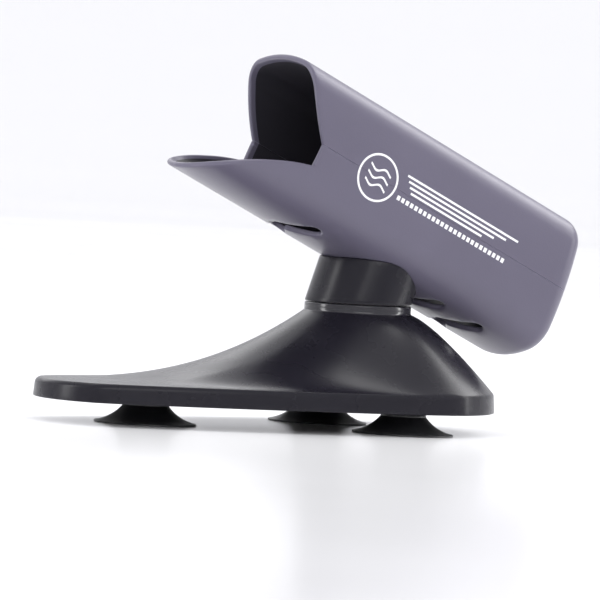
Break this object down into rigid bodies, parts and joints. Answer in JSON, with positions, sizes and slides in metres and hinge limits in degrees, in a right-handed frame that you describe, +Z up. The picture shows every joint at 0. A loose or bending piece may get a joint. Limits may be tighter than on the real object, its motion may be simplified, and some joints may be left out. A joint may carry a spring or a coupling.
{
  "type": "hair dryer holder",
  "caption": "Hands-free hair dryer holder: a slanted open-mouthed tube on a leaning neck that swivels on a wide swept base with rubber suction cups underneath.",
  "frame": {"origin": "middle of the overall box, on the table plane that the suction cups' rims stand on", "axes": "+X from the tube's mouth towards its low end, +Y across, +Z up"},
  "size_m": [0.2902, 0.1332, 0.1835],
  "materials": {
    "tube_plastic": "satin charcoal with a fine moulded texture",
    "base_plastic": "satin dark charcoal",
    "cup_rubber": "smooth black",
    "acetal": "natural white, smooth",
    "zinc_steel": "zinc plated"
  },
  "bodies": {
    "base": {"base_shell": "base_plastic", "base_plate": "base_plastic", "base_plate_screws": "zinc_steel", "suction_cup_toe": "cup_rubber", "suction_cup_left": "cup_rubber", "suction_cup_right": "cup_rubber", "cup_screws": "zinc_steel", "swivel_bush": "acetal", "thrust_washer": "acetal"},
    "head": {"neck": "base_plastic", "neck_screws": "zinc_steel", "lower_shell": "tube_plastic", "upper_shell": "tube_plastic", "pivot_bolt": "zinc_steel", "flat_washer": "zinc_steel", "spring_washer": "zinc_steel", "lock_nut": "zinc_steel"}
  },
  "joints": [
    {"name": "head_swivel", "type": "hinge", "parent": "base", "child": "head", "pos_m": [0.02995, 0, 0.0621], "axis": [0, 0, 1], "continuous": true}
  ]
}
